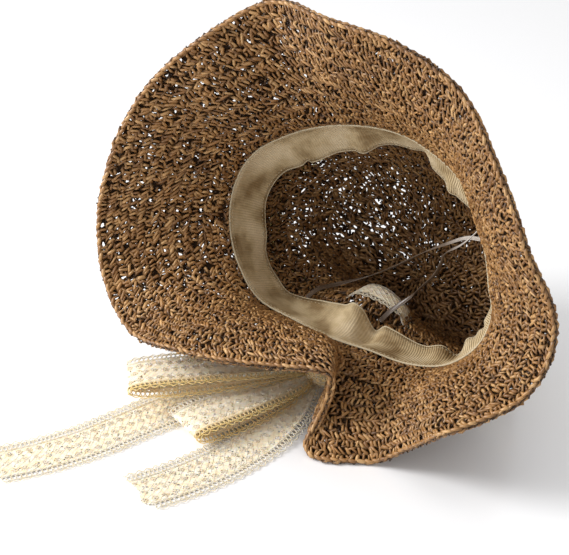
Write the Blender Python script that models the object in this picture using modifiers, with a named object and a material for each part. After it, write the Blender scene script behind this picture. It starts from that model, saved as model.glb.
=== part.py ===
"""Sun hat of crocheted straw, lying on its side on a flat surface.

Metres, +Z up. The hat is worked out in its own frame, x across the head
opening, y up in the plane of the opening and z out of the opening, and is
then tilted so that it rests on the brim in front and on the crown behind.
"""
import math

import bmesh
import bpy
from mathutils import Matrix, Vector

# Sizes of the hat
HALF_LONG = 0.102          # half of the head opening, front to back of the head
HALF_SHORT = 0.0765        # half of the head opening, side to side of the head
OPENING_TURN = -4.0        # degrees that the long way of the opening is turned
OPENING_POWER = 2.15       # 2 is an ellipse, more is squarer
CROWN_DEPTH = 0.118
CROWN_SAG = 0.040          # how far the tip has sunk towards the floor
BRIM_WIDTH = 0.092
STRAW = 0.003              # thickness of the crocheted wall
BAND_WIDTH = 0.033         # ribbed band sewn inside the opening
BAND_CLOTH = 0.001
LACE_CLOTH = 0.001
RIBBON_WIDTH = 0.0045
GAP = 0.0004               # between pieces that touch in the real hat

# Rest on the floor
OPENING_CENTRE = Vector((0.0, 0.0625, 0.1088))
TILT = 20.0                # degrees that the crown points down behind
SECTORS = 72

# Crown from the opening to the tip: share of the depth, share of the opening
CROWN_PROFILE = (
    (0.00, 1.000), (0.25, 0.985), (0.45, 0.955), (0.62, 0.91), (0.76, 0.84),
    (0.87, 0.73), (0.94, 0.58), (0.98, 0.40), (1.00, 0.16),
)

# The opening is bent out of its plain oval: angle, share of the oval
OPENING_SHAPE = (
    (0, 0.985), (14, 0.93), (27, 0.90), (40, 0.92), (52, 0.96), (68, 0.98), (85, 1.0),
    (105, 0.965), (122, 0.95), (140, 0.965), (160, 1.02), (180, 1.045), (200, 1.05),
    (218, 1.065), (235, 1.085), (252, 1.015), (270, 1.005), (284, 1.015), (298, 1.10),
    (312, 1.165), (322, 1.17), (334, 1.15), (348, 1.085),
)
BENT_LEFT = 0.3            # share of that bending that is left at the tip

# Dents of the soft crown: angle at the opening, degrees it drifts by the tip,
# half width in degrees, share of the depth at the middle, half length, strength
CROWN_DENTS = (
    (267.0, 0.0, 62.0, 0.57, 0.42, 0.55),
    (222.0, 0.0, 56.0, 0.78, 0.44, 0.32),
    (55.0, 0.0, 60.0, 0.80, 0.45, 0.08),
    (160.0, 0.0, 45.0, 0.60, 0.45, 0.05),
)

# Brim edge, seen from the plain oval at each angle, in shares of the brim width:
# angle, outward, along the opening, out of the opening plane, belly
BRIM_EDGE = (
    (0, 0.75, -0.02, 0.63, 0.14),
    (20, 0.56, -0.08, 0.80, 0.14),
    (40, 0.54, -0.03, 0.82, 0.14),
    (60, 0.64, 0.00, 0.75, 0.14),
    (80, 0.67, 0.00, 0.72, 0.14),
    (100, 0.70, 0.00, 0.69, 0.14),
    (118, 0.82, 0.00, 0.55, 0.14),
    (135, 0.68, 0.03, 0.71, 0.14),
    (155, 0.64, 0.06, 0.74, 0.14),
    (175, 0.66, 0.06, 0.73, 0.12),
    (195, 0.80, 0.04, 0.60, 0.06),
    (210, 0.81, 0.05, 0.59, 0.06),
    (222, 0.68, 0.03, 0.69, 0.16),
    (234, 0.40, 0.03, 0.85, 0.20),
    (246, 0.20, 0.11, 0.88, 0.24),
    (257, 0.05, 0.27, 0.82, 0.22),
    (266, -0.03, 0.47, 0.74, 0.17),
    (271, 0.15, 0.37, 0.66, 0.15),
    (275, 0.40, 0.20, 0.60, 0.15),
    (279, 0.60, 0.05, 0.66, 0.17),
    (287, 0.68, -0.02, 0.66, 0.20),
    (296, 0.68, -0.10, 0.59, 0.24),
    (304, 0.67, -0.15, 0.53, 0.28),
    (313, 0.60, -0.09, 0.59, 0.28),
    (323, 0.59, 0.00, 0.79, 0.18),
    (334, 0.67, 0.00, 0.72, 0.14),
    (346, 0.76, -0.04, 0.62, 0.14),
)

# Lean of the ribbed band into the hollow: angle, degrees
BAND_LEAN = (
    (0, 13), (10, 6), (20, 3), (34, 6), (44, 20), (54, 25), (64, 22), (74, 18), (82, 10),
    (96, 10), (106, 20), (120, 21), (132, 26), (144, 23), (156, 16), (168, 12), (180, 10),
    (192, 14), (204, 10), (216, 5), (228, 4), (240, 4), (252, 11), (262, 18),
    (270, 21), (275, 18), (279, 12), (288, 9), (300, 7), (307, 13), (314, 6),
    (324, 14), (336, 20), (348, 18),
)

# Lace band round the crown: it lies outside and passes inside between two slots
LACE_BAND_WIDTH = 0.026
LACE_BAND_DEPTH = 0.052    # middle of the band, from the opening
LACE_INSIDE = (251.0, 291.0)
LACE_CROSSING = 10.0       # degrees of opening that each crossing takes
LACE_GATHERED = 0.5        # share of its width where it lies inside
LACE_DEEPER = 0.005        # how much deeper it lies there
LACE_GAP = 0.0013

KNOT_CENTRE = Vector((-0.014, 0.0315, 0.0125))
KNOT_SIZE = Vector((0.011, 0.009, 0.0105))

# Bow: each loop's heading, length, height at the knot, top, bottom and width
LOOPS = (
    ("loop_upper", 218.0, 0.130, 0.0168, 0.0245, 0.0160, 0.042),
    ("loop_lower", 244.0, 0.106, 0.0112, 0.0128, 0.0045, 0.044),
)
# Tails: heading and height at the knot, then points on the way with their heights
TAILS = (
    ("tail_long", 212.0, 0.0046, (
        (-0.044, 0.0150, 0.0006), (-0.067, -0.0080, 0.0006), (-0.086, -0.0380, 0.0006),
        (-0.099, -0.0690, 0.0006), (-0.111, -0.1000, 0.0006), (-0.128, -0.1290, 0.0006),
        (-0.149, -0.1550, 0.0006),
    )),
    ("tail_short", 268.0, 0.0078, (
        (-0.013, 0.0010, 0.0042), (-0.013, -0.0260, 0.0024), (-0.017, -0.0530, 0.0006),
        (-0.024, -0.0810, 0.0006), (-0.035, -0.1070, 0.0006), (-0.050, -0.1320, 0.0006),
    )),
)
TAIL_WIDTH = 0.045
TAIL_SPREAD = (0.27, 0.64, 0.90)   # shares of the width where a tail leaves the knot

RIBBON_CLOTH = 0.0008
# Paths of the two strands of the size ribbon, in shares of the opening's two half
# widths and of the crown's depth
RIBBON_STRANDS = (
    ("size_ribbon_upper", (
        (0.828, 0.192, 0.150), (0.670, 0.165, 0.205), (0.493, 0.046, 0.280),
        (0.326, -0.081, 0.356), (0.186, -0.209, 0.407), (0.020, -0.363, 0.449),
        (-0.184, -0.522, 0.483), (-0.364, -0.639, 0.475), (-0.450, -0.700, 0.364),
        (-0.484, -0.782, 0.293),
    )),
    ("size_ribbon_lower", (
        (0.800, 0.285, 0.070), (0.665, 0.110, 0.150), (0.500, -0.034, 0.280),
        (0.459, -0.135, 0.322), (0.409, -0.276, 0.356), (0.301, -0.448, 0.390),
        (0.237, -0.548, 0.407), (0.121, -0.716, 0.381), (0.085, -0.818, 0.325),
    )),
)


def clear_scene():
    for item in list(bpy.data.objects):
        bpy.data.objects.remove(item, do_unlink=True)


def smooth_table(rows, angle, column):
    """Value of a column at any angle, by a smooth closed curve through the rows."""
    count = len(rows)
    angle = angle % 360.0
    after = next((i for i, row in enumerate(rows) if row[0] > angle), count)
    picks = [(after + step) % count for step in (-2, -1, 0, 1)]
    places = []
    for step, pick in zip((-2, -1, 0, 1), picks):
        turns = (after + step) // count
        places.append(rows[pick][0] + 360.0 * turns)
    values = [rows[pick][column] for pick in picks]
    span = places[2] - places[1]
    share = (angle - places[1]) / span
    slope_in = (values[2] - values[0]) / (places[2] - places[0]) * span
    slope_out = (values[3] - values[1]) / (places[3] - places[1]) * span
    square, cube = share ** 2, share ** 3
    return (
        (2 * cube - 3 * square + 1) * values[1]
        + (cube - 2 * square + share) * slope_in
        + (3 * square - 2 * cube) * values[2]
        + (cube - square) * slope_out
    )


def smooth_path(rows, share):
    """Point on a smooth open curve through the rows, share from 0 to 1."""
    place = share * (len(rows) - 1)
    first = min(int(place), len(rows) - 2)
    part = place - first
    picks = [max(0, min(len(rows) - 1, first + step)) for step in (-1, 0, 1, 2)]
    before, start, end, beyond = (Vector(rows[pick]) for pick in picks)
    slope_in = (end - before) * 0.5
    slope_out = (beyond - start) * 0.5
    square, cube = part ** 2, part ** 3
    return (
        (2 * cube - 3 * square + 1) * start
        + (cube - 2 * square + part) * slope_in
        + (3 * square - 2 * cube) * end
        + (cube - square) * slope_out
    )


def bump(distance, half_width):
    """1 in the middle, falling smoothly to 0 at the half width."""
    if abs(distance) >= half_width:
        return 0.0
    return math.cos(0.5 * math.pi * distance / half_width) ** 2


def crown_scale(share):
    """Share of the opening that the undented crown has at a share of the depth."""
    for (low, wide), (high, narrow) in zip(CROWN_PROFILE, CROWN_PROFILE[1:]):
        if share <= high:
            part = (share - low) / (high - low)
            return wide + (narrow - wide) * part
    return CROWN_PROFILE[-1][1]


def oval_point(angle):
    """Point of the opening's plain oval at an angle, in the hat's frame."""
    turn = math.radians(angle)
    ease = 2.0 / OPENING_POWER
    x = HALF_LONG * math.copysign(abs(math.cos(turn)) ** ease, math.cos(turn))
    y = HALF_SHORT * math.copysign(abs(math.sin(turn)) ** ease, math.sin(turn))
    return Matrix.Rotation(math.radians(OPENING_TURN), 3, "Z") @ Vector((x, y, 0.0))


def crown_point(angle, depth):
    """Middle of the crown's wall at an angle and a depth, in the hat's frame."""
    share = max(depth / CROWN_DEPTH, 0.0)
    bent = 1.0 - (1.0 - BENT_LEFT) * min(share, 1.0)
    scale = crown_scale(share) * (1.0 + (smooth_table(OPENING_SHAPE, angle, 1) - 1.0) * bent)
    for middle, drift, width, centre, length, strength in CROWN_DENTS:
        apart = (angle - middle - drift * share + 180.0) % 360.0 - 180.0
        scale *= 1.0 - strength * bump(apart, width) * bump(share - centre, length)
    oval = oval_point(angle)
    sunk = CROWN_SAG * share ** 1.6
    return Vector((oval.x * scale, oval.y * scale - sunk, -depth))


def opening_axes(angle, depth=0.0):
    """Outward and along directions of the opening at an angle."""
    along = crown_point(angle + 1.5, depth) - crown_point(angle - 1.5, depth)
    along.normalize()
    outward = along.cross(Vector((0.0, 0.0, 1.0)))
    return outward.normalized(), along


def brim_point(angle, share):
    """Middle of the brim's wall at an angle, share 0 at the opening, 1 at the edge."""
    root = crown_point(angle, 0.0)
    oval = oval_point(angle)
    along = (oval_point(angle + 1.5) - oval_point(angle - 1.5)).normalized()
    lift_way = Vector((0.0, 0.0, 1.0))
    outward = along.cross(lift_way)
    out, slide, lift, belly = (smooth_table(BRIM_EDGE, angle, i) for i in (1, 2, 3, 4))
    edge = oval + BRIM_WIDTH * (out * outward + slide * along + lift * lift_way)
    across = (lift_way * out - outward * lift).normalized()
    middle = (root + edge) * 0.5 + across * belly * BRIM_WIDTH
    return (
        root * (1 - share) ** 2
        + middle * 2 * share * (1 - share)
        + edge * share ** 2
    )


def resting(point):
    """A point of the hat's frame where the tilted hat has it."""
    turned = Matrix.Rotation(math.radians(90.0 - TILT), 3, "X") @ point
    return OPENING_CENTRE + turned


def on_floor(point):
    """The soft wall lies flat where it would otherwise sink into the floor."""
    return Vector((point.x, point.y, max(point.z, 0.5 * STRAW)))


def grid_object(name, rows, closed_round, thickness):
    """A sheet through rows of points, given its thickness, as its own object."""
    mesh = bpy.data.meshes.new(name)
    form = bmesh.new()
    verts = [[form.verts.new(point) for point in row] for row in rows]
    for low, high in zip(verts, verts[1:]):
        steps = range(len(low) if closed_round else len(low) - 1)
        for i in steps:
            j = (i + 1) % len(low)
            form.faces.new((low[i], low[j], high[j], high[i]))
    if closed_round and closed_round == "tip":
        form.faces.new(tuple(verts[-1]))
    bmesh.ops.recalc_face_normals(form, faces=form.faces)
    form.to_mesh(mesh)
    form.free()
    for face in mesh.polygons:
        face.use_smooth = True
    item = bpy.data.objects.new(name, mesh)
    home = bpy.data.collections.new(name)
    bpy.context.scene.collection.children.link(home)
    home.objects.link(item)
    wall = item.modifiers.new("wall", "SOLIDIFY")
    wall.thickness = thickness
    wall.offset = 0.0
    wall.use_even_offset = False
    return item


def make_crown():
    rows = []
    for share in (0.072, 0.15, 0.23, 0.31, 0.385, 0.45, 0.515, 0.59, 0.68, 0.77, 0.86,
                  0.915, 0.962, 0.988, 1.0):
        depth = share * CROWN_DEPTH
        row = [crown_point(360.0 * i / SECTORS, depth) for i in range(SECTORS)]
        rows.append([on_floor(resting(point)) for point in row])
    return grid_object("crown", rows, "tip", STRAW)


def make_brim():
    rows = []
    for share in (0.0685, 0.034):
        depth = share * CROWN_DEPTH
        row = [crown_point(360.0 * i / SECTORS, depth) for i in range(SECTORS)]
        rows.append([resting(point) for point in row])
    for share in (0.0, 0.10, 0.22, 0.36, 0.52, 0.68, 0.84, 1.0):
        row = [brim_point(360.0 * i / SECTORS, share) for i in range(SECTORS)]
        rows.append([on_floor(resting(point)) for point in row])
    return grid_object("brim", rows, True, STRAW)


def band_point(angle, share):
    """Middle of the ribbed band, share 0 at the sewn edge, 1 at the free edge."""
    outward, along = opening_axes(angle)
    lean = math.radians(smooth_table(BAND_LEAN, angle, 1))
    inset = 0.5 * STRAW + GAP + 0.5 * BAND_CLOTH
    start = crown_point(angle, 0.002) - outward * inset
    wall = crown_point(angle, 0.002 + share * BAND_WIDTH) - crown_point(angle, 0.002)
    down = wall.normalized() * share * BAND_WIDTH
    turned = Matrix.Rotation(lean * min(1.0, share * 1.6), 3, along) @ down
    return start + turned


def make_sweatband():
    rows = []
    for step in range(5):
        share = step / 4
        row = [band_point(360.0 * i / SECTORS, share) for i in range(SECTORS)]
        rows.append([resting(point) for point in row])
    return grid_object("sweatband", rows, True, BAND_CLOTH)


def lace_side(angle):
    """1 where the lace band lies outside the crown, -1 where it lies inside."""
    start, end = LACE_INSIDE
    half = 0.5 * LACE_CROSSING
    if angle < start - half or angle > end + half:
        return 1.0
    if start + half < angle < end - half:
        return -1.0
    apart = min(abs(angle - start), abs(angle - end))
    middle = start if abs(angle - start) < abs(angle - end) else end
    inward = (angle - middle) if middle == start else (middle - angle)
    return -max(-1.0, min(1.0, inward / half))


def lace_band_point(angle, across, layer):
    """Lace band at an angle, across from -1 to 1, layer a distance off its middle."""
    inside = 0.5 - 0.5 * lace_side(angle)
    width = LACE_BAND_WIDTH * (1.0 - (1.0 - LACE_GATHERED) * inside)
    depth = LACE_BAND_DEPTH + LACE_DEEPER * inside + 0.5 * width * across
    outward, along = opening_axes(angle, depth)
    wall = crown_point(angle, depth + 0.002) - crown_point(angle, depth - 0.002)
    normal = wall.cross(along).normalized()
    if normal.dot(outward) < 0:
        normal = -normal
    stand_off = 0.5 * STRAW + LACE_GAP + 0.5 * LACE_CLOTH
    return crown_point(angle, depth) + normal * (stand_off * lace_side(angle) + layer)


def make_lace_band():
    rows = []
    for across in (-1.0, 0.0, 1.0):
        row = [lace_band_point(360.0 * i / SECTORS, across, 0.0) for i in range(SECTORS)]
        rows.append([resting(point) for point in row])
    return grid_object("lace_band", rows, True, LACE_CLOTH)


def cut_slots(crown):
    """Slots in the crown where the lace band passes through its wall."""
    for side, middle in zip(("first", "second"), LACE_INSIDE):
        rows = []
        for across in (-1.06, 0.0, 1.06):
            angles = [middle + 360.0 / SECTORS * step for step in (-2, -1, 0, 1, 2)]
            row = [lace_band_point(angle, across, 0.0) for angle in angles]
            rows.append([resting(point) for point in row])
        cutter = grid_object("slot_" + side, rows, False, LACE_CLOTH + 3 * GAP)
        cutter.hide_render = True
        cutter.display_type = "WIRE"
        cut = crown.modifiers.new("slot_" + side, "BOOLEAN")
        cut.operation = "DIFFERENCE"
        cut.solver = "EXACT"
        cut.object = cutter


def strip(name, path, widths, steps, side=None, camber=0.0):
    """A strip of lace along a path; side is its cross direction if it is fixed."""
    rows = []
    for i in range(steps + 1):
        share = i / steps
        point = smooth_path(path, share)
        point.z = max(point.z, 0.5 * LACE_CLOTH + 0.0001)
        ahead = smooth_path(path, min(1.0, share + 0.01))
        behind = smooth_path(path, max(0.0, share - 0.01))
        cross = side
        if cross is None:
            cross = (ahead - behind).cross(Vector((0.0, 0.0, 1.0))).normalized()
        width = smooth_path([(value, 0.0, 0.0) for value in widths], share).x
        row = []
        for across in (-1.0, 0.0, 1.0):
            rise = camber * (1.0 - across ** 2)
            row.append(point + cross * (0.5 * width * across) + Vector((0, 0, rise)))
        rows.append(row)
    return grid_object(name, rows, False, LACE_CLOTH)


def knot_side(heading, height, half_deep=0.0006):
    """Direction of a heading, and the point just off the knot there at a height."""
    way = Vector((math.cos(math.radians(heading)), math.sin(math.radians(heading)), 0))
    level = max(0.0, abs(height - KNOT_CENTRE.z) - half_deep) / KNOT_SIZE.z
    girth = math.hypot(way.x / KNOT_SIZE.x, way.y / KNOT_SIZE.y)
    reach = math.sqrt(max(0.0, 1.0 - level ** 2)) / girth + GAP
    return way, Vector((KNOT_CENTRE.x, KNOT_CENTRE.y, height)) + way * reach


def loop_path(heading, length, tied, top, bottom):
    """Closed-end loop: out along the top, round the end and back underneath."""
    way, side = knot_side(heading, tied, 0.002)
    base = Vector((KNOT_CENTRE.x, KNOT_CENTRE.y, 0.0))
    start = (side - base).dot(way)
    rows = [
        (start, tied + 0.0013), (0.30 * length, tied + 0.7 * (top - tied)),
        (0.62 * length, top), (0.90 * length, top * 0.97),
        (length, 0.5 * (top + bottom)),
        (0.90 * length, bottom), (0.62 * length, bottom),
        (0.30 * length, tied + 0.7 * (bottom - tied)),
        (start, tied - 0.0013),
    ]
    return [base + way * out + Vector((0, 0, height)) for out, height in rows], way


def make_loop(name, heading, length, tied, top, bottom, width):
    path, way = loop_path(heading, length, tied, top, bottom)
    side = way.cross(Vector((0.0, 0.0, 1.0)))
    narrow = 0.35 * width
    widths = (narrow, 0.75 * width, width, width, width, width, width, 0.75 * width, narrow)
    return strip(name, path, widths, 32, side)


def make_knot():
    mesh = bpy.data.meshes.new("bow_knot")
    form = bmesh.new()
    bmesh.ops.create_uvsphere(form, u_segments=20, v_segments=12, radius=1.0)
    for vert in form.verts:
        vert.co = KNOT_CENTRE + Vector(vert.co[i] * KNOT_SIZE[i] for i in range(3))
    form.to_mesh(mesh)
    form.free()
    item = bpy.data.objects.new("bow_knot", mesh)
    home = bpy.data.collections.new("bow_knot")
    bpy.context.scene.collection.children.link(home)
    home.objects.link(item)
    return item


def make_ribbons():
    for name, path in RIBBON_STRANDS:
        placed = [
            tuple(resting(Vector((x * HALF_LONG, y * HALF_SHORT, -deep * CROWN_DEPTH))))
            for x, y, deep in path
        ]
        item = strip(name, placed, (RIBBON_WIDTH, RIBBON_WIDTH), 16)
        item.modifiers["wall"].thickness = RIBBON_CLOTH


def make_band_ends():
    """The two ends of the lace band, led out together to the bow."""
    start = resting(lace_band_point(242.0, 0.0, LACE_CLOTH + GAP + 0.0008))
    way, end = knot_side(110.0, KNOT_CENTRE.z + 0.001)
    middle = (start + end) * 0.5 - Vector((0.0, 0.0, 0.002))
    strip("lace_band_ends", (tuple(start), tuple(middle), tuple(end)), (0.022, 0.018, 0.012), 10)


def make_tails():
    for name, heading, tied, rows in TAILS:
        path = (tuple(knot_side(heading, tied)[1]), *rows)
        spread = TAIL_SPREAD + (1.0,) * (len(path) - len(TAIL_SPREAD))
        strip(name, path, [TAIL_WIDTH * share for share in spread], 18)


clear_scene()
crown = make_crown()
make_brim()
make_sweatband()
make_lace_band()
cut_slots(crown)
make_knot()
for loop in LOOPS:
    make_loop(*loop)
make_tails()
make_band_ends()
make_ribbons()
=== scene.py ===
"""Looks of a sun hat crocheted from paper straw, lying on its side with a lace bow.

Metres, +Z up. The hat is worked out in its own frame, x across the head
opening, y up in the plane of the opening and z out of the opening, and is
then tilted so that it rests on the brim in front and on the crown behind.
"""
import math

import bpy
import numpy as np
from mathutils import Matrix, Vector


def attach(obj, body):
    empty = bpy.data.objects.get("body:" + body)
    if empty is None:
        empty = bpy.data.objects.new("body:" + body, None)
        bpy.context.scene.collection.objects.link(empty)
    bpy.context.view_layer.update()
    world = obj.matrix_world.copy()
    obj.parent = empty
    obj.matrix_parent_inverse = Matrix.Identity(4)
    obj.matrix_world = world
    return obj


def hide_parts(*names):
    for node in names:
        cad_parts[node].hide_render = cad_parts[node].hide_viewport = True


# Sizes of the hat, as in the model
HALF_LONG = 0.102
HALF_SHORT = 0.0765
OPENING_TURN = -4.0
OPENING_POWER = 2.15
CROWN_DEPTH = 0.118
CROWN_SAG = 0.040
BRIM_WIDTH = 0.092
STRAW = 0.003
BAND_WIDTH = 0.033
BAND_CLOTH = 0.001
LACE_CLOTH = 0.001
RIBBON_WIDTH = 0.0045
RIBBON_CLOTH = 0.0008
GAP = 0.0004
OPENING_CENTRE = np.array((0.0, 0.0625, 0.1088))
TILT = 20.0

# Crown from the opening to the tip: share of the depth, share of the opening
CROWN_PROFILE = (
    (0.00, 1.000), (0.25, 0.985), (0.45, 0.955), (0.62, 0.91), (0.76, 0.84),
    (0.87, 0.73), (0.94, 0.58), (0.98, 0.40), (1.00, 0.16),
)

# The opening is bent out of its plain oval: angle, share of the oval
OPENING_SHAPE = (
    (0, 0.985), (14, 0.93), (27, 0.90), (40, 0.92), (52, 0.96), (68, 0.98), (85, 1.0),
    (105, 0.965), (122, 0.95), (140, 0.965), (160, 1.02), (180, 1.045), (200, 1.05),
    (218, 1.065), (235, 1.085), (252, 1.015), (270, 1.005), (284, 1.015), (298, 1.10),
    (312, 1.165), (322, 1.17), (334, 1.15), (348, 1.085),
)
BENT_LEFT = 0.3            # share of that bending that is left at the tip

# Dents of the soft crown: angle at the opening, degrees it drifts by the tip,
# half width in degrees, share of the depth at the middle, half length, strength
CROWN_DENTS = (
    (267.0, 0.0, 62.0, 0.57, 0.42, 0.55),
    (222.0, 0.0, 56.0, 0.78, 0.44, 0.32),
    (55.0, 0.0, 60.0, 0.80, 0.45, 0.08),
    (160.0, 0.0, 45.0, 0.60, 0.45, 0.05),
)

# Brim edge, seen from the root at each angle, in shares of the brim width:
# angle, outward, along the opening, out of the opening plane, belly
BRIM_EDGE = (
    (0, 0.75, -0.02, 0.63, 0.14),
    (20, 0.56, -0.08, 0.80, 0.14),
    (40, 0.54, -0.03, 0.82, 0.14),
    (60, 0.64, 0.00, 0.75, 0.14),
    (80, 0.67, 0.00, 0.72, 0.14),
    (100, 0.70, 0.00, 0.69, 0.14),
    (118, 0.82, 0.00, 0.55, 0.14),
    (135, 0.68, 0.03, 0.71, 0.14),
    (155, 0.64, 0.06, 0.74, 0.14),
    (175, 0.66, 0.06, 0.73, 0.12),
    (195, 0.80, 0.04, 0.60, 0.06),
    (210, 0.81, 0.05, 0.59, 0.06),
    (222, 0.68, 0.03, 0.69, 0.16),
    (234, 0.40, 0.03, 0.85, 0.20),
    (246, 0.20, 0.11, 0.88, 0.24),
    (257, 0.05, 0.27, 0.82, 0.22),
    (266, -0.03, 0.47, 0.74, 0.17),
    (271, 0.15, 0.37, 0.66, 0.15),
    (275, 0.40, 0.20, 0.60, 0.15),
    (279, 0.60, 0.05, 0.66, 0.17),
    (287, 0.68, -0.02, 0.66, 0.20),
    (296, 0.68, -0.10, 0.59, 0.24),
    (304, 0.67, -0.15, 0.53, 0.28),
    (313, 0.60, -0.09, 0.59, 0.28),
    (323, 0.59, 0.00, 0.79, 0.18),
    (334, 0.67, 0.00, 0.72, 0.14),
    (346, 0.76, -0.04, 0.62, 0.14),
)

# Lean of the ribbed band into the hollow: angle, degrees
BAND_LEAN = (
    (0, 13), (10, 6), (20, 3), (34, 6), (44, 20), (54, 25), (64, 22), (74, 18), (82, 10),
    (96, 10), (106, 20), (120, 21), (132, 26), (144, 23), (156, 16), (168, 12), (180, 10),
    (192, 14), (204, 10), (216, 5), (228, 4), (240, 4), (252, 11), (262, 18),
    (270, 21), (275, 18), (279, 12), (288, 9), (300, 7), (307, 13), (314, 6),
    (324, 14), (336, 20), (348, 18),
)

# Lace band round the crown: it lies outside and passes inside between two slots
LACE_BAND_WIDTH = 0.026
LACE_BAND_DEPTH = 0.052
LACE_INSIDE = (251.0, 291.0)
LACE_CROSSING = 10.0
LACE_GATHERED = 0.5        # share of its width where it lies inside
LACE_DEEPER = 0.005        # how much deeper it lies there
LACE_GAP = 0.0013

KNOT_CENTRE = np.array((-0.014, 0.0315, 0.0125))
KNOT_SIZE = np.array((0.011, 0.009, 0.0105))

# Paths of the two strands of the size ribbon, in shares of the opening's two half
# widths and of the crown's depth
RIBBON_STRANDS = (
    ("size_ribbon_upper", (
        (0.828, 0.192, 0.150), (0.670, 0.165, 0.205), (0.493, 0.046, 0.280),
        (0.326, -0.081, 0.356), (0.186, -0.209, 0.407), (0.020, -0.363, 0.449),
        (-0.184, -0.522, 0.483), (-0.364, -0.639, 0.475), (-0.450, -0.700, 0.364),
        (-0.484, -0.782, 0.293),
    )),
    ("size_ribbon_lower", (
        (0.800, 0.285, 0.070), (0.665, 0.110, 0.150), (0.500, -0.034, 0.280),
        (0.459, -0.135, 0.322), (0.409, -0.276, 0.356), (0.301, -0.448, 0.390),
        (0.237, -0.548, 0.407), (0.121, -0.716, 0.381), (0.085, -0.818, 0.325),
    )),
)

# Bow: each loop's heading, length, height at the knot, top, bottom and width
LOOPS = (
    ("loop_upper", 218.0, 0.130, 0.0168, 0.0245, 0.0160, 0.042),
    ("loop_lower", 244.0, 0.106, 0.0112, 0.0128, 0.0045, 0.044),
)
# Tails: heading and height at the knot, then points on the way with their heights
TAILS = (
    ("tail_long", 212.0, 0.0046, (
        (-0.044, 0.0150, 0.0006), (-0.067, -0.0080, 0.0006), (-0.086, -0.0380, 0.0006),
        (-0.099, -0.0690, 0.0006), (-0.111, -0.1000, 0.0006), (-0.128, -0.1290, 0.0006),
        (-0.149, -0.1550, 0.0006),
    )),
    ("tail_short", 268.0, 0.0078, (
        (-0.013, 0.0010, 0.0042), (-0.013, -0.0260, 0.0024), (-0.017, -0.0530, 0.0006),
        (-0.024, -0.0810, 0.0006), (-0.035, -0.1070, 0.0006), (-0.050, -0.1320, 0.0006),
    )),
)
TAIL_WIDTH = 0.045
TAIL_SPREAD = (0.27, 0.64, 0.90)   # shares of the width where a tail leaves the knot

# Crochet
ROW = 0.0052               # height of a crochet row
STITCH = 0.0063            # width of a stitch
STRAND = 0.0021            # width of the paper straw
STRAND_FLAT = 0.0017       # its thickness
COLUMNS = 1200             # samples round the wall
CHANCE = np.random.default_rng(11)

# Camera at the photo's angle
VIEW_TURN = 30.0
VIEW_RISE = 28.0
VIEW_AIM = Vector((0.004, 0.0601, 0.1022))
VIEW_AWAY = 1.15
PHOTO_WIDTH = 569.0
PHOTO_HEIGHT = 555.0
PIXELS_PER_METRE = 1490.0  # at the distance of the aim
AIM_PIXEL = (362.0, 247.0)
SENSOR = 36.0


def unit(vectors):
    """Vectors scaled to length 1."""
    lengths = np.linalg.norm(vectors, axis=-1, keepdims=True)
    return vectors / np.maximum(lengths, 1e-12)


def table_value(rows, angles, column):
    """A column's value at each angle, by a smooth closed curve through the rows."""
    places = np.array([row[0] for row in rows], float)
    values = np.array([row[column] for row in rows], float)
    places = np.concatenate((places[-2:] - 360.0, places, places[:2] + 360.0))
    values = np.concatenate((values[-2:], values, values[:2]))
    angles = np.mod(angles, 360.0)
    high = np.searchsorted(places, angles, side="right")
    low = high - 1
    span = places[high] - places[low]
    share = (angles - places[low]) / span
    slope_in = (values[high] - values[low - 1]) / (places[high] - places[low - 1]) * span
    slope_out = (values[high + 1] - values[low]) / (places[high + 1] - places[low]) * span
    square, cube = share ** 2, share ** 3
    return (
        (2 * cube - 3 * square + 1) * values[low]
        + (cube - 2 * square + share) * slope_in
        + (3 * square - 2 * cube) * values[high]
        + (cube - square) * slope_out
    )


def smooth_path(rows, shares):
    """Points on a smooth open curve through the rows, shares from 0 to 1."""
    rows = np.array(rows, float)
    places = np.asarray(shares) * (len(rows) - 1)
    first = np.minimum(places.astype(int), len(rows) - 2)
    part = (places - first)[:, None]
    before, start, end, beyond = (
        rows[np.clip(first + step, 0, len(rows) - 1)] for step in (-1, 0, 1, 2)
    )
    slope_in = (end - before) * 0.5
    slope_out = (beyond - start) * 0.5
    square, cube = part ** 2, part ** 3
    return (
        (2 * cube - 3 * square + 1) * start
        + (cube - 2 * square + part) * slope_in
        + (3 * square - 2 * cube) * end
        + (cube - square) * slope_out
    )


def bump(distance, half_width):
    """1 in the middle, falling smoothly to 0 at the half width."""
    inside = np.clip(np.abs(distance) / half_width, 0.0, 1.0)
    return np.cos(0.5 * np.pi * inside) ** 2


def crown_point(angle, depth):
    """Middle of the crown's wall at angles and depths, in the hat's frame."""
    angle, depth = np.broadcast_arrays(np.asarray(angle, float), np.asarray(depth, float))
    share = depth / CROWN_DEPTH
    oval = oval_point(angle)
    depths, scales = zip(*CROWN_PROFILE)
    scale = np.interp(share, depths, scales)
    bent = 1.0 - (1.0 - BENT_LEFT) * np.clip(share, 0.0, 1.0)
    scale = scale * (1.0 + (table_value(OPENING_SHAPE, angle, 1) - 1.0) * bent)
    for middle, drift, width, centre, length, strength in CROWN_DENTS:
        apart = (angle - middle - drift * share + 180.0) % 360.0 - 180.0
        scale = scale * (1.0 - strength * bump(apart, width) * bump(share - centre, length))
    sunk = CROWN_SAG * np.maximum(share, 0.0) ** 1.6
    return np.stack((oval[..., 0] * scale, oval[..., 1] * scale - sunk, -depth), axis=-1)


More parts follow.
